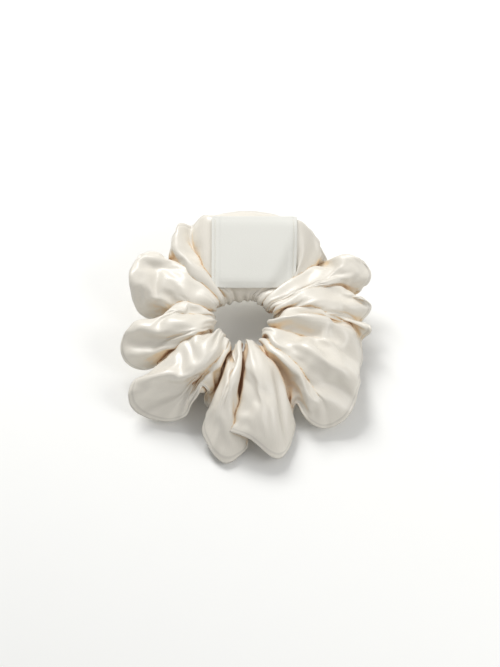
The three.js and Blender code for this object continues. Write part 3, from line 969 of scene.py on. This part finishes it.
def satin_material():
    """Heavy ivory satin: long floats along the tube's width give it a soft streaky lustre."""
    material, nodes, shader = new_material(
        "ivory_satin", Roughness=0.34, Specular_IOR_Level=0.75, Sheen_Weight=0.12, Sheen_Roughness=0.35
    )
    cloth = nodes.add("ShaderNodeUVMap", uv_map="cloth").outputs["UV"]
    size = nodes.add("ShaderNodeVectorMath", {0: cloth, "Scale": FLAT_LENGTH}, operation="SCALE").outputs[0]
    weave = nodes.add(
        "ShaderNodeGroup",
        {"Vector": size, "Along": SATIN_THREADS, "Across": SATIN_THREADS / 4, "Lean": 0.4},
        node_tree=WEAVE,
    ).outputs
    streaks = nodes.add("ShaderNodeMapping", {"Vector": size, "Scale": (2.4, 0.35, 1.0)}).outputs["Vector"]
    floats = fibres_in(nodes, streaks, 1.0, 0.1)
    grain = fibres_in(nodes, size, 2.2, 0.08)
    from_fold = nodes.add("ShaderNodeAttribute", attribute_name="from_fold").outputs["Fac"]
    off_seam = nodes.math("ABSOLUTE", nodes.math("SUBTRACT", from_fold, SEAM_FROM_FOLD))
    # Painted shade: the base colour darkens by up to 14% along the long seam's line, for the shade in its
    # groove.
    seam = nodes.math("ADD", nodes.math("MULTIPLY", nodes.between(off_seam, 0.1, 0.7), 0.14), 0.86)
    # Painted shade: the base colour goes tan where the cloth is shut in by its own folds and brown deeper in,
    # following fold_depth.
    painted_shade = nodes.add(
        "ShaderNodeGroup",
        {
            "Open": SATIN_COLOUR, "Fold shade": SATIN_FOLD_SHADE_COLOUR, "Hollow shade": SATIN_HOLLOW_SHADE_COLOUR,
            "Fold starts": 0.36, "Hollow starts": 0.66,
        },
        node_tree=PAINTED_FOLD_SHADE,
    ).outputs["Color"]
    nodes.tree.links.new(shaded(nodes, painted_shade, floats["Shade"], grain["Shade"], seam), shader["Base Color"])
    roughness = nodes.math("ADD", nodes.math("MULTIPLY", grain["Height"], 0.16), 0.27)
    nodes.tree.links.new(roughness, shader["Roughness"])
    soft = bumped(nodes, shader, floats["Height"], 0.3, 0.25 * MM)
    rough = bumped(nodes, shader, grain["Height"], 0.25, 0.12 * MM, soft)
    bumped(nodes, shader, weave["Height"], 0.25, 0.04 * MM, rough)
    return material


def label_material():
    """Matte woven tape with fine slanting ribs."""
    material, nodes, shader = new_material(
        "label_twill_tape", Roughness=0.8, Specular_IOR_Level=0.25, Sheen_Weight=0.2, Sheen_Roughness=0.5
    )
    cloth = nodes.add("ShaderNodeUVMap", uv_map="cloth").outputs["UV"]
    size = nodes.add("ShaderNodeVectorMath", {0: cloth, "Scale": 1000.0}, operation="SCALE").outputs[0]
    weave = nodes.add(
        "ShaderNodeGroup",
        {"Vector": size, "Along": LABEL_THREADS, "Across": LABEL_THREADS, "Lean": 1.0},
        node_tree=WEAVE,
    ).outputs
    fibres = fibres_in(nodes, size, 1.3, 0.07)
    ribs = nodes.mix_colour(weave["On top"], LABEL_GROUND_COLOUR, LABEL_COLOUR)
    nodes.tree.links.new(shaded(nodes, ribs, fibres["Shade"]), shader["Base Color"])
    roughness = nodes.math("ADD", nodes.math("MULTIPLY", fibres["Height"], 0.15), 0.7)
    nodes.tree.links.new(roughness, shader["Roughness"])
    fuzz = bumped(nodes, shader, fibres["Height"], 0.25, 0.15 * MM)
    bumped(nodes, shader, weave["Height"], 0.35, 0.08 * MM, fuzz)
    return material


def thread_material():
    material, nodes, shader = new_material(
        "ivory_thread", Roughness=0.5, Specular_IOR_Level=0.4, Sheen_Weight=0.15
    )
    place = nodes.add("ShaderNodeTexCoord").outputs["Object"]
    fibres = fibres_in(nodes, place, 4000.0, 0.25)
    nodes.tree.links.new(shaded(nodes, THREAD_COLOUR, fibres["Shade"]), shader["Base Color"])
    bumped(nodes, shader, fibres["Height"], 0.4, 0.05 * MM)
    return material


def elastic_material():
    """White braided elastic: matte yarns with rubber cores showing faintly between them."""
    material, nodes, shader = new_material(
        "elastic_braid", Roughness=0.75, Specular_IOR_Level=0.3, Sheen_Weight=0.1
    )
    place = nodes.add("ShaderNodeTexCoord").outputs["Object"]
    size = nodes.add("ShaderNodeVectorMath", {0: place, "Scale": 1000.0}, operation="SCALE").outputs[0]
    weave = nodes.add(
        "ShaderNodeGroup",
        {"Vector": size, "Along": ELASTIC_YARNS, "Across": ELASTIC_YARNS, "Lean": -1.0},
        node_tree=WEAVE,
    ).outputs
    fibres = fibres_in(nodes, size, 2.0, 0.12)
    yarns = nodes.mix_colour(weave["On top"], ELASTIC_CORE_COLOUR, ELASTIC_COLOUR)
    nodes.tree.links.new(shaded(nodes, yarns, fibres["Shade"]), shader["Base Color"])
    bumped(nodes, shader, weave["Height"], 0.5, 0.2 * MM)
    return material


SATIN = satin_material()
LABEL_TAPE = label_material()
THREAD = thread_material()
ELASTIC = elastic_material()


# ---- each piece's material and body, and the CAD parts it replaces ----
def finish_piece(piece, material, slot, body, *nodes):
    """Gives a piece its material and hides the CAD parts that it replaces. With no body its placing is baked
    into its mesh; with one it hangs from that body's empty.
    """
    piece.data.materials.append(material)
    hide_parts(*nodes)
    if body is None:
        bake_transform(piece)
    else:
        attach(piece, body)


finish_piece(sleeve, SATIN, "satin", None, "sleeve_back_half", "sleeve_front_half")
finish_piece(elastic, ELASTIC, "elastic_braid", None, "elastic_band")
finish_piece(long_seam, THREAD, "sewing_thread", None, "long_seam_thread")
finish_piece(elastic_zigzag, THREAD, "sewing_thread", "back", "elastic_joint_thread")
finish_piece(closing_seam, THREAD, "sewing_thread", "back", "closing_seam_thread")
finish_piece(label, LABEL_TAPE, "label_twill", "back", "label_panel")
finish_piece(label_stitches[0], THREAD, "sewing_thread", "back", "label_stitch_left")
finish_piece(label_stitches[1], THREAD, "sewing_thread", "back", "label_stitch_right")


# ---- floor, light and camera ----
def make_floor():
    bpy.ops.object.select_all(action="DESELECT")
    bpy.ops.mesh.primitive_plane_add(size=6.0)
    floor = bpy.context.object
    floor.name = "floor"
    material, nodes, shader = new_material("pale_floor", Roughness=0.9, Specular_IOR_Level=0.2)
    place = nodes.add("ShaderNodeTexCoord").outputs["Object"]
    fibres = fibres_in(nodes, place, 60.0, 0.01)
    nodes.tree.links.new(shaded(nodes, FLOOR_COLOUR, fibres["Shade"]), shader["Base Color"])
    floor.data.materials.append(material)


def soft_light(name, place, size, power):
    lamp = bpy.data.lights.new(name, "AREA")
    lamp.energy = power
    lamp.size = size
    light = bpy.data.objects.new(name, lamp)
    bpy.context.scene.collection.objects.link(light)
    light.location = place
    light.rotation_euler = (Vector((0.0, 0.0, 0.02)) - Vector(place)).to_track_quat("-Z", "Y").to_euler()


def make_camera():
    back = Vector((0.0, -math.cos(CAMERA_ELEVATION), math.sin(CAMERA_ELEVATION)))
    upwards = back.cross(Vector((1.0, 0.0, 0.0)))
    camera = bpy.data.objects.new("camera", bpy.data.cameras.new("camera"))
    bpy.context.scene.collection.objects.link(camera)
    camera.location = AXIS + Vector((AIM_RIGHT, 0.0, 0.0)) + upwards * AIM_UP + back * CAMERA_DISTANCE
    camera.rotation_euler = (-back).to_track_quat("-Z", "Y").to_euler()
    camera.data.lens = camera.data.sensor_width * CAMERA_DISTANCE / VIEW_HEIGHT
    camera.data.clip_start = 0.01
    bpy.context.scene.camera = camera


make_floor()
soft_light("key_light", (-0.2, 0.45, 0.6), 0.3, 4.4)
soft_light("fill_light", (0.4, -0.2, 0.4), 0.3, 1.0)
make_camera()
world = bpy.data.worlds.new("studio")
world.use_nodes = True
world.node_tree.nodes["Background"].inputs["Color"].default_value = (1.0, 1.0, 1.0, 1.0)
world.node_tree.nodes["Background"].inputs["Strength"].default_value = 0.45
bpy.context.scene.world = world
bpy.context.scene.view_settings.view_transform = "Standard"
